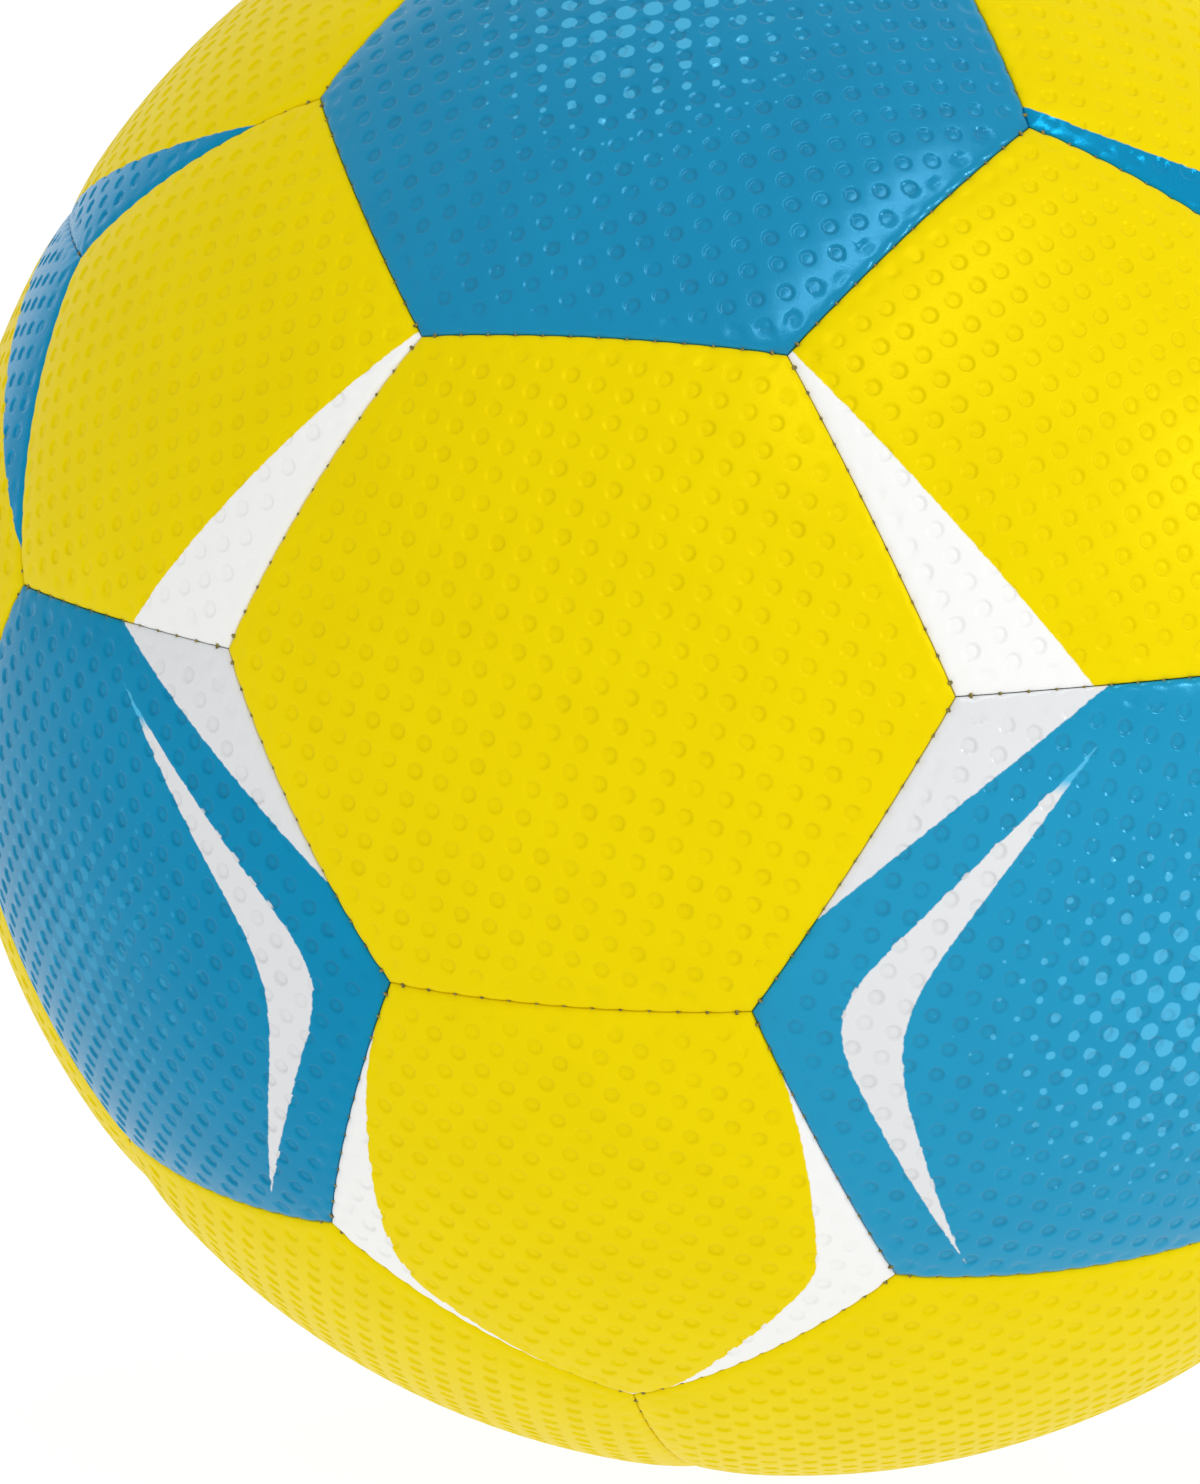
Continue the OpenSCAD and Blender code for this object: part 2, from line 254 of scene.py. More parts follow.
def leather(name, skin, wedges=(), band=None, dots=None):
    # the sheet as printed: patches, dots, bent band and wedges of ink, then painted shade, with some dust, in
    # its dimples and down its seams
    material, tree = bareMaterial(name)
    given = addNode(tree, "ShaderNodeAttribute", attribute_name="sheetPoint").outputs["Vector"]
    place = addNode(tree, "ShaderNodeVectorMath", [given, (1, 1, 0)], operation="MULTIPLY")
    relief = addNode(tree, "ShaderNodeSeparateXYZ", [given]).outputs["Z"]
    wander = addNode(tree, "ShaderNodeTexNoise", {
        "Vector": place, "Scale": printing["wavesPerMm"], "Detail": 3.0}).outputs["Fac"]
    drift = addNode(
        tree, "ShaderNodeMath", [wander, printing["wave"], -printing["wave"] / 2], operation="MULTIPLY_ADD")
    embossed = addNode(tree, "ShaderNodeMath", [relief, printing["deepest"]], operation="MAXIMUM")

    def inked(distance, follow=printing["follow"]):
        # 1 where the distance outside is negative
        moved = addNode(tree, "ShaderNodeMath", [distance, drift], operation="ADD")
        edge = addNode(tree, "ShaderNodeMath", [embossed, follow, moved], operation="MULTIPLY_ADD")
        return addNode(tree, "ShaderNodeMapRange", {
            "Value": edge, "From Min": -printing["softEdge"], "From Max": printing["softEdge"],
            "To Min": 1.0, "To Max": 0.0})

    # layers of colour on the ground, each with its share
    patchy = addNode(tree, "ShaderNodeTexNoise", {
        "Vector": place, "Scale": printing["patchesPerMm"], "Detail": 2.0}).outputs["Fac"]
    patches = addNode(tree, "ShaderNodeMapRange", {"Value": patchy, **printing["patches"]})
    layers = [(patches, linear(skin["deep"]))]
    if dots:
        dot = inked(outsideDots(tree, place, dots), printing["dotFollow"])
        share = addNode(tree, "ShaderNodeMath", [dot, dots["strength"]], operation="MULTIPLY")
        layers.append((share, linear(paint["paleBlue"])))
    white = gloss = 0.0
    if band:
        outer, inner = [
            outsideOverlap(tree, place, band[edge], band["corner"]) for edge in ("outer", "inner")]
        within = addNode(tree, "ShaderNodeMath", [inner, -1.0], operation="MULTIPLY")
        white = inked(addNode(tree, "ShaderNodeMath", [outer, within], operation="MAXIMUM"))
        up = addNode(tree, "ShaderNodeSeparateXYZ", [place]).outputs["Y"]
        tip = addNode(tree, "ShaderNodeMapRange", {"Value": up, **band["tip"]})
        ink = addNode(tree, "ShaderNodeMix", {
            0: tip, 6: linear(paint["greyWhite"]), 7: linear(paint["paleBlue"])}, data_type="RGBA").outputs[2]
        layers.append((white, ink))
    for circles, ink in wedges:
        # a wedge is all that lies outside the overlap of its circles, out to the seam
        edge = outsideOverlap(tree, place, circles, printing["corner"])
        wedge = inked(addNode(tree, "ShaderNodeMath", [edge, -1.0], operation="MULTIPLY"))
        layers.append((wedge, linear(paint[ink])))
        if ink == "wedgeBlue":
            gloss = wedge
        else:
            white = addNode(tree, "ShaderNodeMath", [white, wedge], operation="MAXIMUM")
    # painted shade, with some dust, in the dimples' grooves, and painted shade down in the seam
    dustAndShade = addNode(tree, "ShaderNodeMath", [
        white, dustAndShadeLevels["whiteDustAndShade"] * skin["dustAndShade"], skin["dustAndShade"]], operation="MULTIPLY_ADD")
    shade = addNode(tree, "ShaderNodeMath", [
        white, dustAndShadeLevels["whiteShade"], dustAndShadeLevels["creaseShade"]], operation="MULTIPLY_ADD")
    groove, crease = [
        addNode(tree, "ShaderNodeMapRange", {"Value": relief, **levels, "To Min": most, "To Max": 0.0})
        for levels, most in ((dustAndShadeLevels["groove"], dustAndShade), (dustAndShadeLevels["crease"], shade))]
    dustAndShadeShare = addNode(tree, "ShaderNodeMath", [groove, crease], operation="MAXIMUM")
    layers.append((dustAndShadeShare, linear(paint["dustAndShade"])))
    colour = linear(skin["ground"])
    for share, ink in layers:
        colour = addNode(tree, "ShaderNodeMix", {0: share, 6: colour, 7: ink}, data_type="RGBA").outputs[2]
    grain = addNode(tree, "ShaderNodeTexNoise", {
        "Vector": place, "Scale": skin["grainsPerMm"], "Detail": 4.0}).outputs["Fac"]
    grained = addNode(tree, "ShaderNodeMapRange", {
        "Value": grain, **noiseRange,
        "To Min": skin["roughness"] - roughnessSpread, "To Max": skin["roughness"] + roughnessSpread})
    roughness = addNode(
        tree, "ShaderNodeMath", [gloss, printing["glossRoughness"], grained], operation="MULTIPLY_ADD")
    # pearl pigment gives glints in the leather's own colour: more in the blue ink, little in the white
    pearl = addNode(tree, "ShaderNodeMath", [
        white, printing["whitePearl"] * skin["pearl"], skin["pearl"]], operation="MULTIPLY_ADD")
    pearl = addNode(tree, "ShaderNodeMath", [gloss, printing["glossPearl"], pearl], operation="MULTIPLY_ADD")
    bump = addNode(tree, "ShaderNodeBump", {"Height": grain, "Strength": 0.35, "Distance": 0.03 * mm})
    surface = addNode(tree, "ShaderNodeBsdfPrincipled", {
        "Base Color": colour, "Roughness": roughness, "Specular IOR Level": skin["shine"],
        "Metallic": pearl, "Normal": bump})
    addNode(tree, "ShaderNodeOutputMaterial", {"Surface": surface})
    return material


# the prints, in mm from the panel's middle: a circle is x, y and radius

squareDots = dict(pitch=2.95, reach=22.5, largest=1.15, smallest=-0.05, strength=0.85)
topDots = dict(squareDots, angle=13.7, middle=(-3, 5))
sideDots = dict(squareDots, angle=40.7, middle=(-6, 0), reach=26.0)
faintDots = dict(sideDots, strength=0.25)
bentBand = dict(
    outer=[(-107.0, -85.3, 161.3), (-154.7, 119.7, 223.3)],
    inner=[(-138.8, -72.4, 177.9), (-138.6, 68.9, 179.1)],
    corner=10.0,         # rounding of the bend
    tip={"From Min": 22.5, "From Max": 24.0},      # its point turns pale blue between these heights
)
besideBand = [([(-99.4, -100.8, 171.7)], "greyWhite")]
wedgePrints = {
    "upper": [([(-9.0, 34.6, 62.8)], "wedgeBlue")],
    "upperShort": [([(-26.0, 82.0, 114.4)], "wedgeBlue")],
    "outer": [([(-258, -273, 400)], "wedgeBlue")],
    "crown": [([(-298, 266, 419.5)], "white")],
    "lower": [
        ([(75.9, -1.0, 99.8), (6.2, -2.4, 30.1, "open"), (249.2, 279.5, 400)], "white"),
        ([(-65.5, 2.0, 89.3), (-290.5, 240.5, 400)], "white")],
}
leathers = {
    "yellow": leather("yellowEmbossedLeather", matt),
    "side": leather("blueLeatherScreenedBoomerang", clear, besideBand, bentBand, sideDots),
    "shadedSide": leather("blueLeatherFaintDots", dull, besideBand, bentBand, faintDots),
    "top": leather("blueLeatherScreenedDots", glossy, dots=topDots),
    "upper": leather("yellowLeatherBlueWedgeAbove", matt, wedgePrints["upper"]),
    "upperShort": leather("yellowLeatherShortBlueWedge", matt, wedgePrints["upperShort"]),
    "outer": leather("yellowLeatherBlueWedgeBeside", matt, wedgePrints["outer"]),
    "crown": leather("yellowLeatherWhiteWedge", matt, wedgePrints["crown"]),
    "lower": leather("yellowLeatherTwoWhiteWedges", matt, wedgePrints["lower"]),
}
# the way to each pattern panel's middle from the ball's
patterns = [
    ((-0.577, -0.745, -0.333), "side"), ((0, -0.745, 0.667), "top"), ((-0.577, -0.333, 0.745), "upper"),
    ((-0.934, -0.333, 0.127), "outer"), ((-0.526, -0.795, 0.304), "crown"), ((0, -0.795, -0.607), "lower"),
]
# on the front left the screen came out faint and the wedge above was cut short
# the front-left side panel, in shade, keeps the plain blue, where the other side panels have it painted
# lighter
frontLeft = {"side": "shadedSide", "upper": "upperShort"}


def designOf(centre):
    pattern = centre * patternTurn(centre)
    design = next((key for direction, key in patterns if pattern @ unit(direction) > samePlace), "yellow")
    return frontLeft.get(design, design) if centre[0] < -midline and centre[1] < 0 else design


print("leathers mixed")

# the dimpled sheet, as a Geometry Nodes tree

dimple = dict(
    pitch=3.04,          # spacing of the embossed dimples, mm
    segments=12,
    firstAngle=15,       # so that corners of the rings face the tile's corners
    ringRadii=[0.5, 0.76, 0.92, 1.06],
    ringLevels=[-0.18, -0.2, -0.01, 0.0],
    pipLevel=-0.12,
    pairShift=0.06,      # along a row they stand in pairs, a little nearer and wider
    unevenness=1.5,      # the stamp bites deeper in some places than in others,
    bitesPerMm=0.21,     # which lie about 5 mm apart
    rows=27,             # odd, so that a dimple lies in the middle
    start=(0.31, 0.17),  # the panel's middle falls between dimples, as a share of the pitch
    weld=0.01,           # points of neighbouring tiles this near each other become one
)


def reliefAt(x, y):
    # height of the embossing at points of the flat sheet, for the parts of a panel with a mesh of their own
    p = dimple["pitch"]
    x = x - dimple["pairShift"] * np.cos(math.pi * x / p)
    r = np.hypot(x - np.round(x / p) * p, y - np.round(y / p) * p)
    return np.interp(r, [0] + dimple["ringRadii"], [dimple["pipLevel"]] + dimple["ringLevels"])


def dimpleTile():
    # one square of sheet with its dimple: a groove round a small pip
    n = dimple["segments"]
    angles = [math.radians(dimple["firstAngle"] + 360 * k / n) for k in range(n)]
    half = dimple["pitch"] / 2
    verts = [(0, 0, dimple["pipLevel"])]
    for r, z in zip(dimple["ringRadii"], dimple["ringLevels"]):
        verts += [(r * math.cos(a), r * math.sin(a), z) for a in angles]
    for a in angles:
        reach = half / max(abs(math.cos(a)), abs(math.sin(a)))
        verts.append((reach * math.cos(a), reach * math.sin(a), 0))
    faces = [(0, 1 + k, 1 + (k + 1) % n) for k in range(n)]
    for ring in range(len(dimple["ringRadii"])):
        a, b = 1 + ring * n, 1 + (ring + 1) * n
        faces += [(a + k, b + k, b + (k + 1) % n, a + (k + 1) % n) for k in range(n)]
    mesh = bpy.data.meshes.new("dimpleTile")
    mesh.from_pydata([[c * mm for c in v] for v in verts], [], faces)
    return addObject("dimpleTile", mesh)


def newTree(name, sockets):
    # a tree with named inputs, and the identifier of each
    tree = bpy.data.node_groups.new(name, "GeometryNodeTree")
    tree.interface.new_socket("Geometry", in_out="INPUT", socket_type="NodeSocketGeometry")
    tree.interface.new_socket("Geometry", in_out="OUTPUT", socket_type="NodeSocketGeometry")
    identifiers = {
        label: tree.interface.new_socket(label, in_out="INPUT", socket_type=kind).identifier
        for label, kind in sockets.items()}
    return tree, identifiers


def sheetTree():
    tree, identifiers = newTree("dimpledSheet", {
        "Tile": "NodeSocketObject", "Pitch": "NodeSocketFloat", "Rows": "NodeSocketInt",
        "Pair shift": "NodeSocketFloat", "Unevenness": "NodeSocketFloat", "Material": "NodeSocketMaterial"})
    given = addNode(tree, "NodeGroupInput").outputs
    rows = given["Rows"]
    gaps = addNode(tree, "ShaderNodeMath", [rows, 1.0], operation="SUBTRACT")
    width = addNode(tree, "ShaderNodeMath", [gaps, given["Pitch"]], operation="MULTIPLY")
    grid = addNode(tree, "GeometryNodeMeshGrid", {
        "Size X": width, "Size Y": width, "Vertices X": rows, "Vertices Y": rows})
    tile = addNode(tree, "GeometryNodeObjectInfo", {"Object": given["Tile"]}).outputs["Geometry"]
    placed = addNode(tree, "GeometryNodeInstanceOnPoints", {"Points": grid, "Instance": tile})
    real = addNode(tree, "GeometryNodeRealizeInstances", {"Geometry": placed})
    joined = addNode(tree, "GeometryNodeMergeByDistance", {"Geometry": real, "Distance": dimple["weld"] * mm})
    place = addNode(tree, "ShaderNodeSeparateXYZ", [addNode(tree, "GeometryNodeInputPosition")]).outputs
    column = addNode(tree, "ShaderNodeMath", [place["X"], given["Pitch"]], operation="DIVIDE")
    turn = addNode(tree, "ShaderNodeMath", [column, math.pi], operation="MULTIPLY")
    swing = addNode(tree, "ShaderNodeMath", [turn], operation="COSINE")
    shift = addNode(tree, "ShaderNodeMath", [swing, given["Pair shift"]], operation="MULTIPLY")
    noise = addNode(tree, "ShaderNodeTexNoise", {
        "Scale": dimple["bitesPerMm"] / mm, "Detail": 1.0}).outputs["Fac"]
    centred = addNode(tree, "ShaderNodeMath", [noise, 0.5], operation="SUBTRACT")
    bite = addNode(tree, "ShaderNodeMath", [centred, given["Unevenness"]], operation="MULTIPLY")
    deeper = addNode(tree, "ShaderNodeMath", [place["Z"], bite], operation="MULTIPLY")
    offset = addNode(tree, "ShaderNodeCombineXYZ", {"X": shift, "Z": deeper})
    moved = addNode(tree, "GeometryNodeSetPosition", {"Geometry": joined, "Offset": offset})
    dressed = addNode(tree, "GeometryNodeSetMaterial", {"Geometry": moved, "Material": given["Material"]})
    addNode(tree, "NodeGroupOutput", [dressed])
    return tree, identifiers


def grown(name, tree, identifiers, values, base=None):
    # what a tree makes of a mesh, as a plain mesh
    holder = addObject(name, base or bpy.data.meshes.new(name))
    modifier = holder.modifiers.new(name, "NODES")
    modifier.node_group = tree
    for label, value in values.items():
        modifier[identifiers[label]] = value
    depsgraph = bpy.context.evaluated_depsgraph_get()
    mesh = bpy.data.meshes.new_from_object(holder.evaluated_get(depsgraph))
    holder.modifiers.clear()
    bpy.data.objects.remove(holder)
    mesh.name = name
    return mesh


tile = dimpleTile()
sheet = grown("flatSheet", *sheetTree(), {
    "Tile": tile, "Pitch": dimple["pitch"] * mm, "Rows": dimple["rows"],
    "Pair shift": dimple["pairShift"] * mm, "Unevenness": dimple["unevenness"],
    "Material": leathers["yellow"]})
bpy.data.objects.remove(tile)
print("sheet embossed", len(sheet.polygons))

# one cut panel, in its own frame: +Z outwards, seam middles at equal turns from +X

fold = dict(
    cut=2.6,             # the dimpled sheet stops here, mm from the seam's plane
    insets=[2.3, 1.9, 1.5, 1.15, 0.88, 0.64, 0.44, 0.27, 0.13, 0.04],
    embossedFrom=0.7,    # the embossing begins here, seen from the seam,
    embossedOver=1.6,    # and is full after as much more
    pillowWidth=7.5,     # the pressure rounds the panel off towards its seams
    pillowDepth=0.42,
    width=1.0,           # the shoulder starts to fall here
    depth=0.32,          # and meets its neighbour this far down
    columns=8,           # columns of faces for each stitch
    notchDepth=0.15,     # pull of a stitch
    notchLength=0.28,
    notchWidth=0.42,
    scallop=0.035,       # swell between two stitches
    scallopReach=0.8,
    cornerDrop=0.2,
    cornerSpread=1.5,
    hiddenColumns=10,    # columns of faces for each side, where nothing shows
    behindStrip=0.9,     # the bend between the strip and the panel's back lies this far behind the skin
    backInsets=[2.6, 9.0, 16.0],
    onPlane=1e-5,        # a point this near a cutting plane lies on it
)
valve = dict(
    node="hexagon_panel_20",
    hole=4.15,           # radius of the hole in the leather
    rim=[(0.7, 0), (0.35, 0.04), (0.12, 0.14), (0, 0.34)],      # its rounded edge: mm outside, mm down
    points=48,
    planes=24,           # that cut the sheet round the hole
    cutOutside=1.0,      # at this distance from it
    near=5,              # only faces as near as this are cut
    pressedFlat=0.8,     # round the hole the embossing is pressed flat
    pressedOver=1.4,     # and comes back over this width
    rimReach=12,         # a rim point nearer the axis is on the hole, one farther on the panel's edge
)


def crownPoint(kind, across, along, side):
    # the point of the crown at a distance from a seam's plane and from the seam's middle
    beta, rise, radius = kind["seam"], kind["rise"], kind["crown"]
    root = (rise * math.cos(beta)) ** 2 - (
        across ** 2 + along ** 2 - 2 * rise * across * math.sin(beta) + rise ** 2 - radius ** 2)
    out = rise * math.cos(beta) + np.sqrt(root)
    x = -across * math.cos(beta) + out * math.sin(beta)
    z = across * math.sin(beta) + out * math.cos(beta)
    turn = 2 * math.pi * side / kind["sides"]
    return np.stack([
        x * math.cos(turn) - along * math.sin(turn),
        x * math.sin(turn) + along * math.cos(turn), z], axis=-1)


def cornerReach(kind, across):
    # half the length of the line at this distance inside a seam, up to the mitre
    half, rounds = 10.0, 40      # a guess that each round makes better
    slope = math.tan(math.pi / kind["sides"])
    for _ in range(rounds):
        half = slope * crownPoint(kind, across, half, 0)[0]
    return half


def insetLoop(kind, across, columns):
    # a line parallel to the panel's edge: points, share along the side, and distance from the corner
    half = cornerReach(kind, across)
    share = np.arange(columns) / columns * 2 - 1
    points = np.concatenate([crownPoint(kind, across, half * share, s) for s in range(kind["sides"])])
    return points, np.tile(share, kind["sides"]), np.tile(half * (1 - np.abs(share)), kind["sides"])


def pillow(across):
    return fold["pillowDepth"] * np.clip(1 - across / fold["pillowWidth"], 0, 1) ** 2


def toSeam(kind, points):
    # distance of points from the plane of their nearest seam
    turns = 2 * math.pi * np.arange(kind["sides"]) / kind["sides"]
    inward = np.stack([
        -math.cos(kind["seam"]) * np.cos(turns), -math.cos(kind["seam"]) * np.sin(turns),
        0 * turns + math.sin(kind["seam"])])
    return np.min(points @ inward, axis=1)


def foldDrop(across, share, fromCorner):
    # how far the folded edge lies below the crown
    x = np.clip(1 - across / fold["width"], 0, 1)
    drop = fold["depth"] * (1 - np.sqrt(1 - x * x))
    place = (share + 1) / 2 * ball["stitchesPerSeam"]
    away = (place - np.floor(place) - 0.5) * ball["stitchPitch"]
    notch = np.exp(-(away / fold["notchLength"]) ** 2 - (across / fold["notchWidth"]) ** 2)
    drop = drop + fold["notchDepth"] * notch
    drop = drop - fold["scallop"] * np.cos(2 * math.pi * place) * np.exp(-across / fold["scallopReach"])
    return drop + fold["cornerDrop"] * np.exp(-(fromCorner ** 2 + across ** 2) / fold["cornerSpread"] ** 2)


def fromCrown(kind, points):
    return points - np.array([0, 0, kind["rise"]])


def sheetPlace(kind, points):
    # where a point of the crown lies on the flat sheet, measured along the crown from its middle
    lifted = fromCrown(kind, points)
    angle = np.arctan2(np.hypot(lifted[:, 0], lifted[:, 1]), lifted[:, 2])
    turn = np.arctan2(lifted[:, 1], lifted[:, 0])
    reach = angle * kind["crown"]
    return np.stack([reach * np.cos(turn), reach * np.sin(turn)], axis=1)


def wrapped(kind, flat):
    # the flat sheet laid on the crown
    angle = np.hypot(flat[:, 0], flat[:, 1]) / kind["crown"]
    turn = np.arctan2(flat[:, 1], flat[:, 0])
    far = kind["crown"] + flat[:, 2]
    return np.stack([
        far * np.sin(angle) * np.cos(turn), far * np.sin(angle) * np.sin(turn),
        far * np.cos(angle) + kind["rise"]], axis=1)


def byTurn(indices, points):
    turn = np.arctan2(points[:, 1], points[:, 0])
    order = np.argsort(turn)
    return [int(indices[k]) for k in order], list(turn[order])


def zipped(near, far):
    # triangles between two closed loops round the axis; each is (indices, points)
    inner, innerTurn = byTurn(*near)
    outer, outerTurn = byTurn(*far)
    n, m = len(outer), len(inner)
    outerTurn += [outerTurn[0] + 2 * math.pi]
    innerTurn += [innerTurn[0] + 2 * math.pi]
    faces = []
    i = j = 0
    while i < n or j < m:
        if j >= m or (i < n and outerTurn[i + 1] <= innerTurn[j + 1]):
            faces.append((outer[i], outer[(i + 1) % n], inner[j % m]))
            i += 1
        else:
            faces.append((inner[(j + 1) % m], inner[j], outer[i % n]))
            j += 1
    return faces


def cutAtSeams(bm, kind):
    for side in range(kind["sides"]):
        turn = 2 * math.pi * side / kind["sides"]
        normal = Vector((
            -math.cos(kind["seam"]) * math.cos(turn), -math.cos(kind["seam"]) * math.sin(turn),
            math.sin(kind["seam"])))
        bmesh.ops.bisect_plane(
            bm, geom=bm.verts[:] + bm.edges[:] + bm.faces[:], dist=fold["onPlane"],
            plane_co=normal * fold["cut"], plane_no=normal, clear_inner=True)


def cutRoundHole(bm, hole):
    ring = hole + valve["cutOutside"]
    reach = ring + valve["near"]
    turns = [2 * math.pi * k / valve["planes"] for k in range(valve["planes"])]
    normals = [Vector((math.cos(turn), math.sin(turn), 0)) for turn in turns]
    for normal in normals:
        near = [f for f in bm.faces if f.verts[0].co.xy.length < reach]
        geom = list({g for f in near for g in (*f.verts, *f.edges)}) + near
        bmesh.ops.bisect_plane(bm, geom=geom, dist=fold["onPlane"], plane_co=normal * ring, plane_no=normal)
    inside = [
        f for f in bm.faces if f.verts[0].co.xy.length < reach
        and all(f.calc_center_median().dot(normal) < ring for normal in normals)]
    bmesh.ops.delete(bm, geom=inside, context="FACES")


def sheetOnCrown(kind, latticeTurn, hole):
    # the sheet laid on the crown and cut along its seams
    c, s = math.cos(latticeTurn), math.sin(latticeTurn)
    bm = bmesh.new()
    bm.from_mesh(sheet)
    flat = np.empty(len(sheet.vertices) * 3)
    sheet.vertices.foreach_get("co", flat)
    flat = flat.reshape(-1, 3) / mm
    x = flat[:, 0] + dimple["start"][0] * dimple["pitch"]
    y = flat[:, 1] + dimple["start"][1] * dimple["pitch"]
    turned = np.stack([c * x - s * y, s * x + c * y, flat[:, 2]], axis=1)
    if hole:
        turned[:, 2] *= np.clip(
            (np.hypot(x, y) - hole - valve["pressedFlat"]) / valve["pressedOver"], 0, 1)
    for v, co in zip(bm.verts, wrapped(kind, turned).tolist()):
        v.co = co
    cutAtSeams(bm, kind)
    if hole:
        cutRoundHole(bm, hole)
    bm.verts.index_update()
    points = np.array([v.co[:] for v in bm.verts])
    points -= unitRows(fromCrown(kind, points)) * pillow(toSeam(kind, points))[:, None]
    faces = [tuple(v.index for v in f.verts) for f in bm.faces]
    rim = np.array(sorted({v.index for e in bm.edges if len(e.link_faces) == 1 for v in e.verts}))
    bm.free()
    return points, faces, rim


def cutPanel(kindName, latticeTurn, hole):
    # the sheet cut to the panel, folded over at its seams and closed behind
    kind = kinds[kindName]
    points, faces, rim = sheetOnCrown(kind, latticeTurn, hole)
    parts = [points]
    fromAxis = np.hypot(points[rim, 0], points[rim, 1])
    edge = rim[fromAxis > valve["rimReach"]]

    def addLoop(loop):
        start = sum(len(p) for p in parts)
        parts.append(loop)
        return np.arange(start, start + len(loop)), loop

    def addBand(near, far):
        n = len(near[0])
        for k in range(n):
            m = (k + 1) % n
            faces.append((int(near[0][k]), int(far[0][k]), int(far[0][m]), int(near[0][m])))

    # the folded edge, line by line out to the seam
    c, s = math.cos(latticeTurn), math.sin(latticeTurn)
    previous = None
    for across in fold["insets"]:
        loop, share, fromCorner = insetLoop(kind, across, fold["columns"] * ball["stitchesPerSeam"])
        place = sheetPlace(kind, loop)
        x = c * place[:, 0] + s * place[:, 1] - dimple["start"][0] * dimple["pitch"]
        y = -s * place[:, 0] + c * place[:, 1] - dimple["start"][1] * dimple["pitch"]
        fade = np.clip((across - fold["embossedFrom"]) / fold["embossedOver"], 0, 1)
        move = reliefAt(x, y) * fade - foldDrop(across, share, fromCorner) - pillow(across)
        added = addLoop(loop + unitRows(fromCrown(kind, loop)) * move[:, None])
        if previous is None:
            faces.extend(zipped((edge, points[edge]), added))
        else:
            addBand(previous, added)
        previous = added

    def hidden(across, radius, inset):
        # a line of the inner side: at a radius from the ball's middle, or at a depth under the crown
        loop, _, _ = insetLoop(kind, across, fold["hiddenColumns"])
        if radius:
            loop = unitRows(loop) * radius
        return addLoop(loop - unitRows(fromCrown(kind, loop)) * inset)

    # down the seam's side, round the strip's end and across the back, with fewer points
    turnedIn = hidden(fold["insets"][-1], ball["stripEnd"], 0)
    faces.extend(zipped(previous, turnedIn))
    previous = turnedIn
    for across, radius, inset in (
            (ball["skin"], ball["stripEnd"], 0), (ball["skin"], 0, ball["skin"] + fold["behindStrip"]),
            *((across, 0, ball["skin"]) for across in fold["backInsets"])):
        added = hidden(across, radius, inset)
        addBand(previous, added)
        previous = added
    if hole:
        # the hole's edge is rounded, and its wall goes through to the back
        angles = np.arange(valve["points"]) / valve["points"] * 2 * math.pi - math.pi
        onHole = rim[fromAxis < valve["rimReach"]]
        ring = (onHole, points[onHole])
        for index, (wider, drop) in enumerate((*valve["rim"], (0, ball["skin"]))):
            r = hole + wider
            flat = np.stack([r * np.cos(angles), r * np.sin(angles), 0 * angles - drop], axis=1)
            nextRing = addLoop(wrapped(kind, flat))
            if index == 0:
                faces.extend(zipped(nextRing, ring))
            else:
                addBand(nextRing, ring)
            ring = nextRing
        faces.extend(tuple(reversed(f)) for f in zipped(ring, previous))
    else:
        pole = addLoop(np.array([[0, 0, ball["radius"] - ball["skin"]]]))[0][0]
        n = len(previous[0])
        faces.extend((int(previous[0][k]), int(pole), int(previous[0][(k + 1) % n])) for k in range(n))
    return np.concatenate(parts), faces


# the 32 panels: a few ways of cutting the sheet serve them all

rowAngles = dict(        # of the dimples' rows, in degrees
    read={"hexagon_panel_01": -15.6, "hexagon_panel_03": -11.3, "pentagon_panel_03": 32.0},
    spread=37.0,         # where none could be read, the rows turn by this from panel to panel
    repeat=90,           # a square lattice looks the same after this turn
    cuts=5,              # ways of cutting each kind of panel
)


def nearestCentre(node):
    low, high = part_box(node)
    middle = unit((low + high) / 2)
    return max(hexagons + pentagons, key=lambda c: c @ middle)


def layOf(node, index, centre, axes, sides):
    # the cut and the turn that bring the sheet's rows nearest to the panel's own angle
    up = unit(np.array([0, 0, 1]) - centre[2] * centre)
    seamTurn = math.degrees(math.atan2(axes[:, 0] @ up, axes[:, 0] @ np.cross(up, centre)))
    repeat, cutCount = rowAngles["repeat"], rowAngles["cuts"]
    wanted = rowAngles["read"].get(node, (index * rowAngles["spread"]) % repeat) - seamTurn
    step = 360 / sides
    spare = math.gcd(360 // sides, repeat)      # what turns by whole sides leave open
    cut = round((wanted % spare) / spare * cutCount) % cutCount * spare / cutCount
    turns = min(
        range(sides), key=lambda k: abs((cut + k * step - wanted + repeat / 2) % repeat - repeat / 2))
    return cut, math.radians(turns * step)


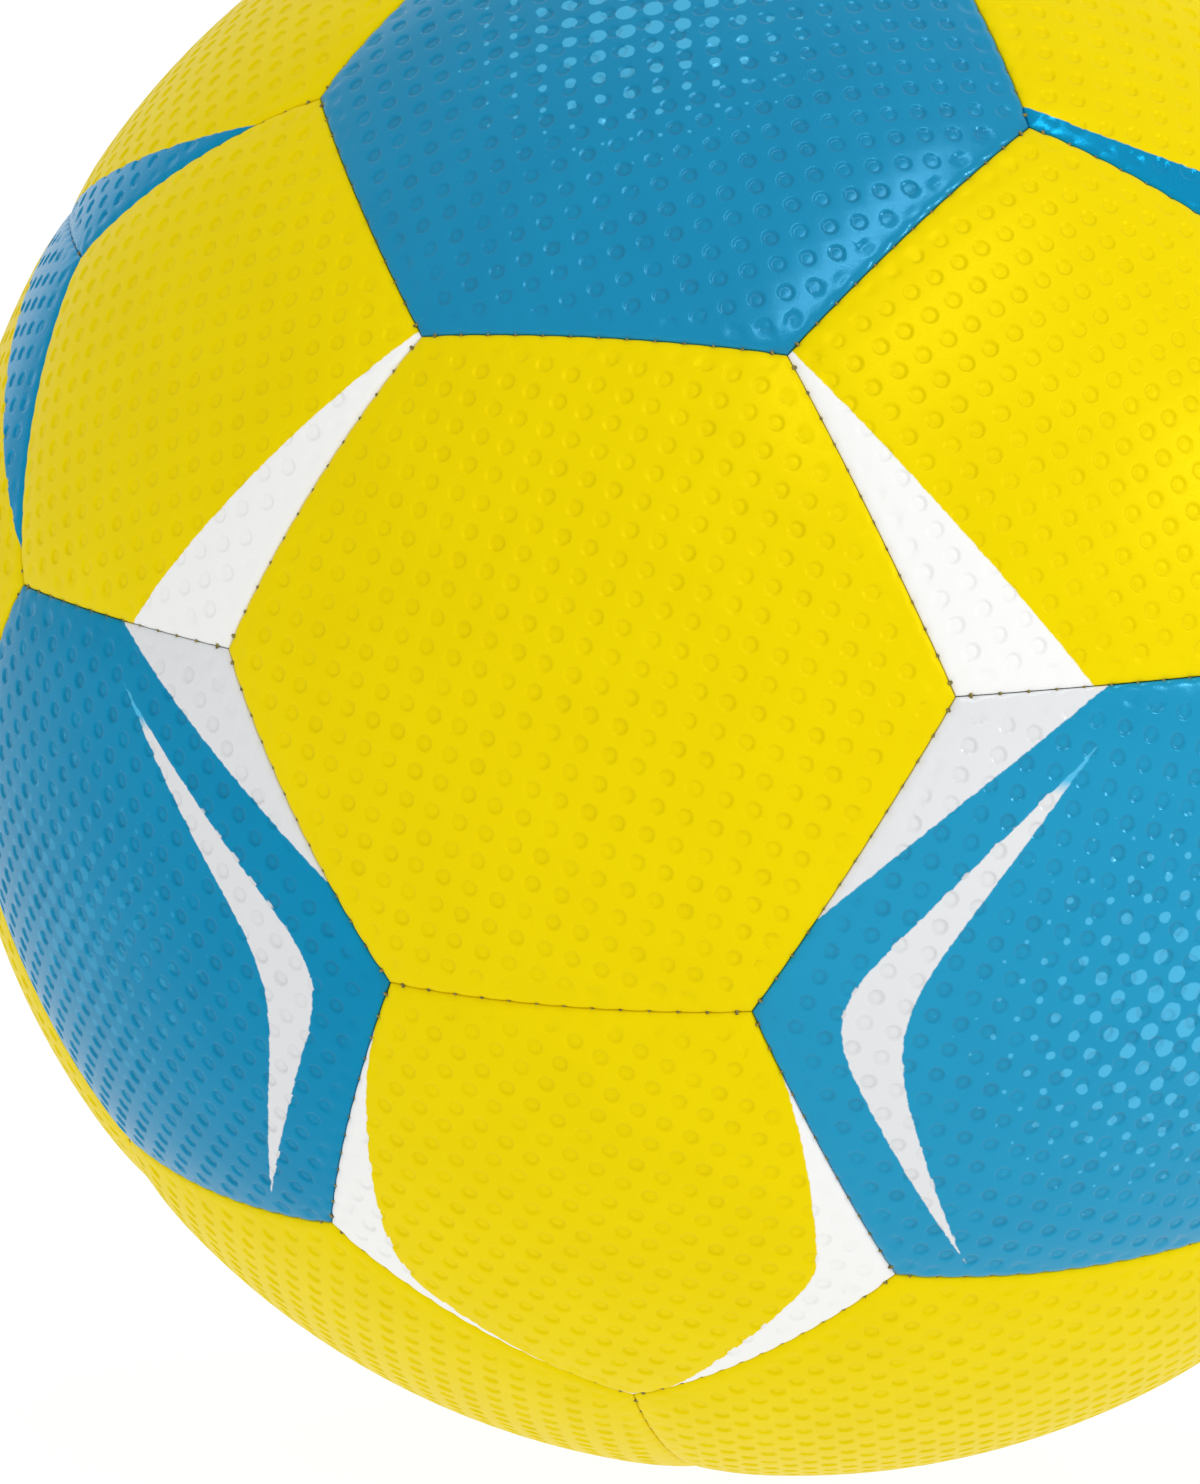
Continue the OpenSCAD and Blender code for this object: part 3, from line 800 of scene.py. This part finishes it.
cuts = {}
panelNodes = sorted(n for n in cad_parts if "panel" in n)
for index, node in enumerate(panelNodes):
    kindName = node.split("_")[0]
    kind = kinds[kindName]
    centre = nearestCentre(node)
    axes = localAxes(centre, kindName)
    hole = valve["hole"] if node == valve["node"] else 0.0
    cut, turn = layOf(node, index, centre, axes, kind["sides"])
    if (kindName, cut, hole) not in cuts:
        cuts[kindName, cut, hole] = cutPanel(kindName, math.radians(cut), hole)
    points, faces = cuts[kindName, cut, hole]
    c, s = math.cos(turn), math.sin(turn)
    placed = points @ np.array([[c, -s, 0], [s, c, 0], [0, 0, 1]]).T @ axes.T
    name = node.replace("_panel_", "Leather")
    mesh = bpy.data.meshes.new(name)
    mesh.from_pydata((placed * mm).tolist(), [], faces)
    smooth(mesh)
    design = designOf(centre)
    mesh.materials.append(leathers[design])
    # what the leather's print reads: mm across and up, and the embossing's height
    relief = np.linalg.norm(fromCrown(kind, points), axis=1) - kind["crown"] + pillow(toSeam(kind, points))
    given = np.column_stack([printPlace(placed, centre), relief]).ravel()
    mesh.attributes.new("sheetPoint", "FLOAT_VECTOR", "POINT").data.foreach_set("vector", given)
    piece = addObject(name, mesh)
    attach(piece, "root")
    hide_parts(node)
print("panels sewn", len(panelNodes), "from", len(cuts), "cuts")

# stitches: waxed thread across each seam, sunk in its notch

stitch = dict(
    diameter=0.4,
    halfLength=0.6,
    dip=0.5,             # its ends lie this far below its middle
    below=0.88,          # and its middle this far below the seam's crest
    sections=5,
    sides=6,
)


def stitchShape():
    # a short arched length of thread, its ends going down into the leather
    verts, faces = [], []
    n, m = stitch["sides"], stitch["sections"]
    r = stitch["diameter"] / 2
    for k in range(m):
        t = k / (m - 1) * 2 - 1
        x, z = t * stitch["halfLength"], -stitch["dip"] * t * t
        slope = math.atan2(-2 * stitch["dip"] * t, stitch["halfLength"])
        for side in range(n):
            a = 2 * math.pi * side / n
            out = r * math.sin(a)
            verts.append((x - out * math.sin(slope), r * math.cos(a), z + out * math.cos(slope)))
    for k in range(m - 1):
        for side in range(n):
            a, b = k * n + side, k * n + (side + 1) % n
            faces.append((a, a + n, b + n, b))
    faces.append(tuple(range(n)))
    faces.append(tuple(range((m - 1) * n, m * n))[::-1])
    mesh = bpy.data.meshes.new("stitchShape")
    mesh.from_pydata([[c * mm for c in v] for v in verts], [], faces)
    return addObject("stitchShape", mesh)


def seamPlaces():
    # each stitch's place and turn, from the panels on both sides of its seam
    places, turns = [], []
    seams = [(a, b, pentagonSeam) for a in pentagons for b in hexagons if beside(a, b, mixedCosine)]
    seams += [
        (a, b, hexagonSeam)
        for i, a in enumerate(hexagons) for b in hexagons[i + 1:] if beside(a, b, hexagonCosine)]
    half = cornerReach(kinds["hexagon"], 0.0)
    for a, b, angle in seams:
        towards = unit(b - (a @ b) * a)
        middle = a * math.cos(angle) + towards * math.sin(angle)
        along = np.cross(a, towards)
        for k in range(ball["stitchesPerSeam"]):
            y = half * ((k + 0.5) / ball["stitchesPerSeam"] * 2 - 1)
            out = unit(middle * math.sqrt(crestRadius ** 2 - y ** 2) + along * y)
            places.append(out * (crestRadius - stitch["below"]) * mm)
            across = unit(np.cross(along, out))
            turns.append(Matrix(np.array([across, np.cross(out, across), out]).T.tolist()).to_euler()[:])
    return places, turns


def stitchTree():
    tree, identifiers = newTree("seamStitches", {
        "Stitch": "NodeSocketObject", "Material": "NodeSocketMaterial"})
    given = addNode(tree, "NodeGroupInput").outputs
    shape = addNode(tree, "GeometryNodeObjectInfo", {"Object": given["Stitch"]}).outputs["Geometry"]
    turn = addNode(tree, "GeometryNodeInputNamedAttribute", {"Name": "stitchTurn"}, data_type="FLOAT_VECTOR")
    placed = addNode(tree, "GeometryNodeInstanceOnPoints", {
        "Points": given["Geometry"], "Instance": shape, "Rotation": turn})
    real = addNode(tree, "GeometryNodeRealizeInstances", {"Geometry": placed})
    dressed = addNode(tree, "GeometryNodeSetMaterial", {"Geometry": real, "Material": given["Material"]})
    addNode(tree, "NodeGroupOutput", [dressed])
    return tree, identifiers


# a wave texture's bands lie 0.314 of a unit apart at scale 1, so this share gives one band to two yarns
waveShare = 0.16


def woven(name, light, dark, yarn, roughness):
    # plain-weave cloth: two sets of yarns crossing, seen as fine ridges
    material, tree = bareMaterial(name)
    place = addNode(tree, "ShaderNodeTexCoord").outputs["Object"]
    yarns = [
        addNode(tree, "ShaderNodeTexWave", {
            "Vector": place, "Scale": waveShare / (yarn * mm), "Distortion": 0.6},
            bands_direction=way).outputs["Fac"]
        for way in ("X", "Z")]
    weave = addNode(tree, "ShaderNodeMath", yarns, operation="MAXIMUM")
    colour = addNode(
        tree, "ShaderNodeMix", {0: weave, 6: linear(dark), 7: linear(light)}, data_type="RGBA").outputs[2]
    bump = addNode(tree, "ShaderNodeBump", {"Height": weave, "Strength": 0.6, "Distance": 0.1 * mm})
    surface = addNode(tree, "ShaderNodeBsdfPrincipled", {
        "Base Color": colour, "Roughness": roughness, "Normal": bump})
    addNode(tree, "ShaderNodeOutputMaterial", {"Surface": surface})
    return material


bloom = dict(colour="#4A4A4C", share=0.5, patchesPerMm=0.18)


def rubber(name, colour, roughness, speck):
    # moulded rubber: a faint bloom in soft patches and fine pits from the mould
    material, tree = bareMaterial(name)
    place = addNode(tree, "ShaderNodeTexCoord").outputs["Object"]
    patches, pits = [
        addNode(tree, "ShaderNodeTexNoise", {
            "Vector": place, "Scale": scale, "Detail": detail}).outputs["Fac"]
        for scale, detail in ((bloom["patchesPerMm"] / mm, 3.0), (1 / (speck * mm), 4.0))]
    share = addNode(tree, "ShaderNodeMath", [patches, bloom["share"]], operation="MULTIPLY")
    tint = addNode(tree, "ShaderNodeMix", {
        0: share, 6: linear(colour), 7: linear(bloom["colour"])}, data_type="RGBA").outputs[2]
    rough = addNode(tree, "ShaderNodeMapRange", {
        "Value": patches, **noiseRange,
        "To Min": roughness - roughnessSpread, "To Max": roughness + roughnessSpread})
    bump = addNode(tree, "ShaderNodeBump", {"Height": pits, "Strength": 0.4, "Distance": 0.04 * mm})
    surface = addNode(tree, "ShaderNodeBsdfPrincipled", {
        "Base Color": tint, "Roughness": rough, "Normal": bump})
    addNode(tree, "ShaderNodeOutputMaterial", {"Surface": surface})
    return material


# the thread's olive is dark partly as painted shade of the notches it lies in
waxed = dict(dark="#645A1C", light="#948636", scalePerMm=0.9)      # which sets the strands 0.35 mm apart


def thread(name):
    # waxed twisted polyester, olive, darker between its strands; the olive is also darkened to stand in for
    # the shade down in the stitch notches
    material, tree = bareMaterial(name)
    place = addNode(tree, "ShaderNodeTexCoord").outputs["Object"]
    strands = addNode(tree, "ShaderNodeTexWave", {
        "Vector": place, "Scale": waxed["scalePerMm"] / mm, "Distortion": 2.0},
        bands_direction="DIAGONAL").outputs["Fac"]
    tint = addNode(tree, "ShaderNodeMix", {
        0: strands, 6: linear(waxed["dark"]), 7: linear(waxed["light"])}, data_type="RGBA").outputs[2]
    bump = addNode(tree, "ShaderNodeBump", {"Height": strands, "Strength": 0.5, "Distance": 0.05 * mm})
    surface = addNode(tree, "ShaderNodeBsdfPrincipled", {
        "Base Color": tint, "Roughness": 0.5, "Normal": bump})
    addNode(tree, "ShaderNodeOutputMaterial", {"Surface": surface})
    return material


places, turns = seamPlaces()
spots = bpy.data.meshes.new("stitchSpots")
spots.from_pydata([p.tolist() for p in places], [], [])
stitchTurns = spots.attributes.new("stitchTurn", "FLOAT_VECTOR", "POINT")
stitchTurns.data.foreach_set("vector", np.array(turns).ravel())
shape = stitchShape()
stitches = grown("seamStitches", *stitchTree(), {
    "Stitch": shape, "Material": thread("waxedPolyesterThread")}, spots)
bpy.data.objects.remove(shape)
smooth(stitches)
seamThread = addObject("seamThread", stitches)
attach(seamThread, "root")
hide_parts("seam_thread")
print("stitches", len(places), "faces", len(stitches.polygons))

# the CAD pieces that stay: colours, yarn or speck in mm, and roughness

liningCloth = woven("laminatedPolycotton", "#D9D3C2", "#B3AB95", yarn=0.45, roughness=0.85)
kept = {
    "front_hexagon_linings": liningCloth,
    "rear_hexagon_linings": liningCloth,
    "pentagon_linings": liningCloth,
    "bladder": rubber("latexedButylBladder", "#262628", roughness=0.6, speck=0.3),
    "valve_housing": rubber("mouldedValveRubber", "#1B1B1C", roughness=0.42, speck=0.2),
    "valve_core": rubber("softCoreRubber", "#2C2C31", roughness=0.36, speck=0.25),
    "valve_patch": woven("coatedCottonPatch", "#B5AD98", "#8F8770", yarn=0.6, roughness=0.7),
}
for name, material in kept.items():
    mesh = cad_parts[name].data
    mesh.materials.clear()
    mesh.materials.append(material)
print("inner pieces dressed", len(kept))

# studio: a white sweep and surround, a key light from the right and a strip light above; sizes in metres

studio = dict(
    front=-6.0, sweepBack=3.0, curve=1.2, curveSteps=12, height=8.0, halfWidth=7.0,
    paper="#505050",
    glow=0.96,           # the paper is lit from behind as well, so that it stays white under the ball
    surround=0.68,
)
pureWhite = (1, 1, 1, 1)


def sweep():
    low = float(cadBox[0][2])
    back, curve = studio["sweepBack"], studio["curve"]
    profile = [(studio["front"], low), (back, low)]
    for k in range(1, studio["curveSteps"] + 1):
        a = math.pi / 2 * k / studio["curveSteps"]
        profile.append((back + curve * math.sin(a), low + curve * (1 - math.cos(a))))
    profile.append((back + curve, low + studio["height"]))
    w = studio["halfWidth"]
    verts = [(x, y, z) for y, z in profile for x in (-w, w)]
    faces = [(2 * k, 2 * k + 1, 2 * k + 3, 2 * k + 2) for k in range(len(profile) - 1)]
    mesh = bpy.data.meshes.new("sweep")
    mesh.from_pydata(verts, [], faces)
    smooth(mesh)
    material, tree = bareMaterial("paleStudioPaper")
    paper = addNode(tree, "ShaderNodeBsdfDiffuse", {"Color": linear(studio["paper"])})
    glow = addNode(tree, "ShaderNodeEmission", {"Color": pureWhite, "Strength": studio["glow"]})
    both = addNode(tree, "ShaderNodeAddShader", [paper, glow])
    addNode(tree, "ShaderNodeOutputMaterial", {"Surface": both})
    mesh.materials.append(material)
    backdrop = addObject("sweep", mesh)


sweep()
world = bpy.data.worlds.new("studioRoom")
scene.world = world
world.use_nodes = True
world.node_tree.nodes.clear()
surround = addNode(world.node_tree, "ShaderNodeBackground", {
    "Color": pureWhite, "Strength": studio["surround"]})
addNode(world.node_tree, "ShaderNodeOutputWorld", {"Surface": surround})

# the camera stands where the photographer's did, a little right of the front panel and above the middle

shot = dict(
    around=math.radians(12.91), above=math.radians(2.76), roll=math.radians(3.06),
    distance=0.6546,     # metres from the ball's middle
    picture=(1200, 1484), ballAt=(779.1, 642.6), focal=5780.0,      # in the photo's pixels
    sensor=36.0,
)


def cameraAxes():
    # right, forward and up for a camera that looks straight at the ball
    a, e, r = shot["around"], shot["above"], shot["roll"]
    forward = np.array([-math.sin(a) * math.cos(e), math.cos(a) * math.cos(e), -math.sin(e)])
    right = unit(np.cross(forward, (0, 0, 1)))
    up = np.cross(right, forward)
    return math.cos(r) * right + math.sin(r) * up, forward, math.cos(r) * up - math.sin(r) * right


def stand(thing, where, x, z):
    # stands a camera or light at a place, its x and z axes along two directions
    turn = Matrix(np.array([x, np.cross(z, x), z]).T.tolist()).to_4x4()
    thing.matrix_world = Matrix.Translation(where.tolist()) @ turn


right, forward, up = cameraAxes()
aside = (shot["ballAt"][0] - shot["picture"][0] / 2) / shot["focal"]
raised = (shot["picture"][1] / 2 - shot["ballAt"][1]) / shot["focal"]
aim = unit(forward - right * aside - up * raised)
lens = bpy.data.cameras.new("camera")
lens.lens = shot["focal"] / shot["picture"][1] * shot["sensor"]
lens.sensor_width = shot["sensor"]
camera = addObject("camera", lens)
stand(camera, -forward * shot["distance"], unit(right - (right @ aim) * aim), -aim)
scene.camera = camera


def softbox(name, where, size, watts, along=(1, 0, 0), shape="DISK"):
    # where: right, up and towards the camera, in metres from the ball; a strip lies along a direction
    light = bpy.data.lights.new(name, "AREA")
    light.shape = shape
    light.size, light.size_y = size
    light.energy = watts
    toWorld = np.array([right, up, -forward]).T
    away = unit(toWorld @ where)
    long = toWorld @ along
    stand(addObject(name, light), toWorld @ where, unit(long - (long @ away) * away), away)


lamps = {
    "keyLight": dict(where=(1.0, 0.35, 0.6), size=(0.15, 0.15), watts=2.0),
    "stripLight": dict(
        where=(0.26, 0.67, 0.69), size=(0.72, 0.09), watts=1.8, along=(0.41, 0.37, -0.83), shape="RECTANGLE"),
}
for name, lamp in lamps.items():
    softbox(name, **lamp)
scene.view_settings.view_transform = "Standard"
print("studio lit")
